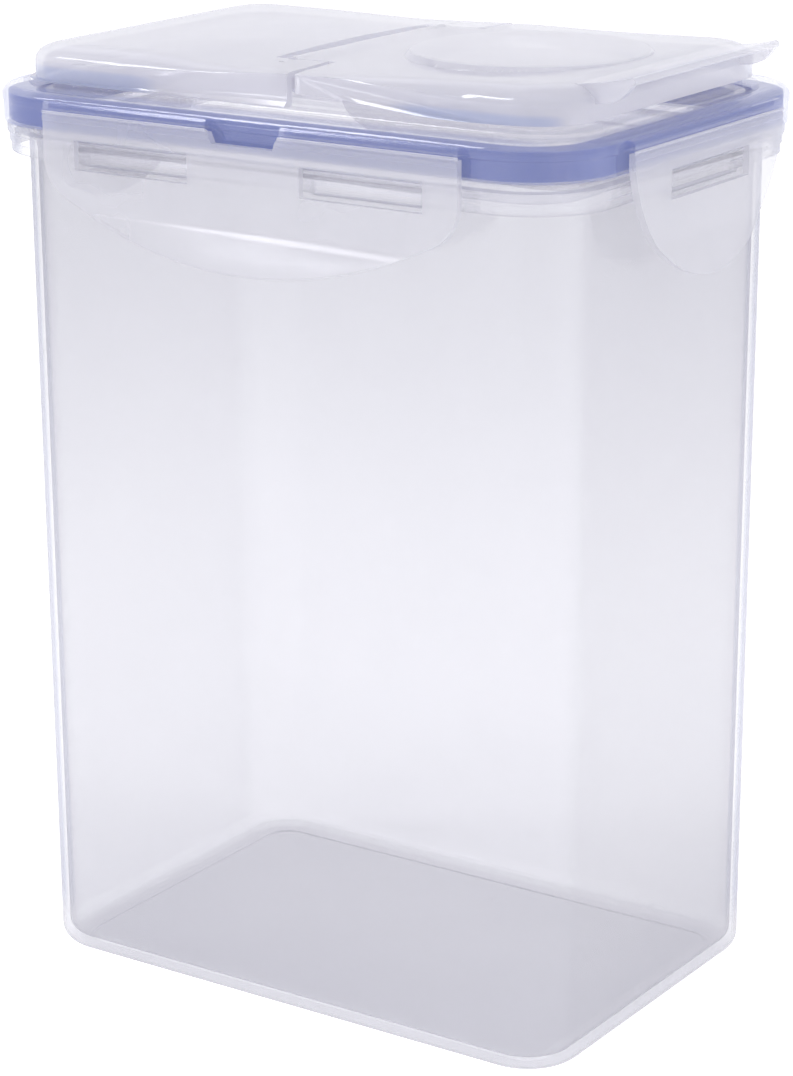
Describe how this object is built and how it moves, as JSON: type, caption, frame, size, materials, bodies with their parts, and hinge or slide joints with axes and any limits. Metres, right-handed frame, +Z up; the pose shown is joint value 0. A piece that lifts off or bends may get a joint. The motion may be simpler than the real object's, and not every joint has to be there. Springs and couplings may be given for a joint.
{
  "type": "cereal container with flip spout",
  "caption": "Clear dry-food container with a sealed lid held by four side latches and a wide flip cap with a thumb tab over a round pour opening",
  "frame": {"origin": "centre of the base, on the plane the foot ring stands on", "axes": "+X is the pour end with the thumb tab, +Y is the back, +Z is up"},
  "size_m": [0.154, 0.1106, 0.2046],
  "materials": {
    "clear_plastic": "clear polypropylene with a faint lilac cast, smooth and glossy",
    "frosted_plastic": "translucent polypropylene, smooth and slightly milky",
    "blue_silicone": "blue silicone rubber, satin",
    "clear_silicone": "translucent silicone rubber, satin"
  },
  "bodies": {
    "container": {"container_body": "clear_plastic"},
    "lid": {"lid": "clear_plastic", "lid_seal": "blue_silicone", "rear_cover": "frosted_plastic"},
    "flip_cap": {"flip_cap": "frosted_plastic", "cap_seal": "clear_silicone"},
    "latch_front": {"latch_front": "clear_plastic"},
    "latch_back": {"latch_back": "clear_plastic"},
    "latch_pour_end": {"latch_pour_end": "clear_plastic"},
    "latch_rear_end": {"latch_rear_end": "clear_plastic"}
  },
  "joints": [
    {"name": "lid_lift", "type": "slide", "parent": "container", "child": "lid", "axis": [0, 0, 1], "range_m": [0, 0.06]},
    {"name": "cap_flip", "type": "hinge", "parent": "lid", "child": "flip_cap", "pos_m": [-0.006, 0, 0.19925], "axis": [0, -1, 0], "range_deg": [0, 100]},
    {"name": "latch_front_swing", "type": "hinge", "parent": "lid", "child": "latch_front", "pos_m": [0, -0.05375, 0.19065], "axis": [-1, 0, 0], "range_deg": [-5, 110]},
    {"name": "latch_back_swing", "type": "hinge", "parent": "lid", "child": "latch_back", "pos_m": [0, 0.05375, 0.19065], "axis": [1, 0, 0], "range_deg": [-5, 110]},
    {"name": "latch_pour_end_swing", "type": "hinge", "parent": "lid", "child": "latch_pour_end", "pos_m": [0.0755, 0, 0.19065], "axis": [0, -1, 0], "range_deg": [-5, 110]},
    {"name": "latch_rear_end_swing", "type": "hinge", "parent": "lid", "child": "latch_rear_end", "pos_m": [-0.0755, 0, 0.19065], "axis": [0, 1, 0], "range_deg": [-5, 110]}
  ]
}
